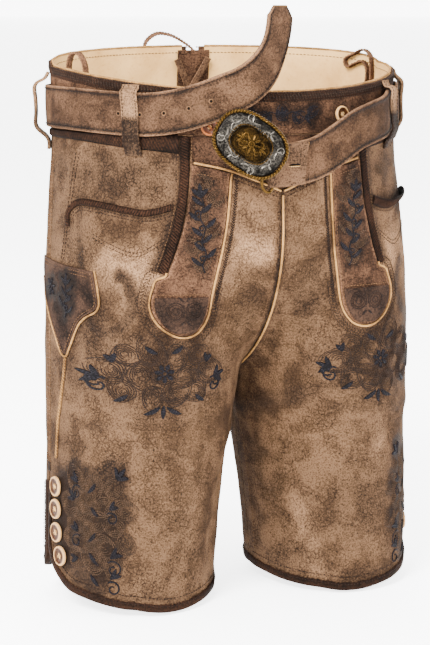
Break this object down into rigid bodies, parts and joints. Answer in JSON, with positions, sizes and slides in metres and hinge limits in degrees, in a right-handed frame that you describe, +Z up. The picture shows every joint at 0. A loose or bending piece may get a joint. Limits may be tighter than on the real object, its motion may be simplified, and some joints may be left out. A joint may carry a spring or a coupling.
{
  "type": "leather shorts",
  "caption": "Knee-length leather shorts with a drop flap, embroidered tongues, a buckled belt and buttoned leg slits, filled out and open at the waist and knees.",
  "frame": {"origin": "middle of the waist opening, level with the waistband's top edge at the side seams", "axes": "+Z up towards the waist, -Y out of the front, +X towards the wearer's left"},
  "size_m": [0.3824, 0.2917, 0.5745],
  "materials": {
    "suede": "brushed brown suede, worn and mottled",
    "worn_suede": "darker rubbed suede",
    "dark_leather": "smooth dark brown leather",
    "dark_patch": "dark suede under embroidery",
    "cream_leather": "natural cream leather piping",
    "cream_cotton": "plain cream cotton twill",
    "horn": "polished brown horn with a paler rim",
    "silver_metal": "aged silver-coloured metal",
    "old_brass": "aged brass"
  },
  "bodies": {
    "root": {"front_right": "suede", "front_left": "suede", "back_right": "suede", "back_left": "suede", "front_underlap": "suede", "waistband_front": "worn_suede", "waistband_back_right": "worn_suede", "waistband_back_left": "worn_suede", "waist_seam_band_right": "dark_leather", "waist_seam_band_left": "dark_leather", "waist_lining": "cream_cotton", "back_gusset": "worn_suede", "back_thong": "suede", "back_lacing": "suede", "tongue_right": "worn_suede", "tongue_left": "worn_suede", "tongue_patch_right": "dark_patch", "tongue_patch_left": "dark_patch", "tongue_piping_right": "cream_leather", "tongue_piping_left": "cream_leather", "plaited_strip_right": "dark_leather", "plaited_strip_left": "dark_leather", "flap_piping_right": "cream_leather", "flap_piping_left": "cream_leather", "fly_piping": "cream_leather", "pocket_binding_right": "dark_leather", "pocket_binding_left": "dark_leather", "knife_pocket": "dark_patch", "knife_pocket_piping": "cream_leather", "knife_strip": "cream_leather", "hem_binding_front_right": "dark_leather", "hem_binding_front_left": "dark_leather", "hem_binding_back_right": "dark_leather", "hem_binding_back_left": "dark_leather", "slit_button_right_1": "horn", "slit_button_right_2": "horn", "slit_button_right_3": "horn", "slit_button_right_4": "horn", "slit_button_left_1": "horn", "slit_button_left_2": "horn", "slit_button_left_3": "horn", "slit_button_left_4": "horn", "flap_button_right": "horn", "flap_button_left": "horn", "belt": "suede", "belt_turned_end": "suede", "buckle_field": "silver_metal", "buckle_boss": "old_brass", "buckle_rim": "old_brass", "buckle_bail": "old_brass", "belt_loop_front_right": "suede", "belt_loop_front_left": "suede", "belt_loop_side_right": "suede", "belt_loop_side_left": "suede", "belt_loop_back_right": "suede", "belt_loop_back_left": "suede", "hanging_loop_right": "suede", "hanging_loop_left": "suede", "hanging_loop_back": "suede"}
  },
  "joints": []
}
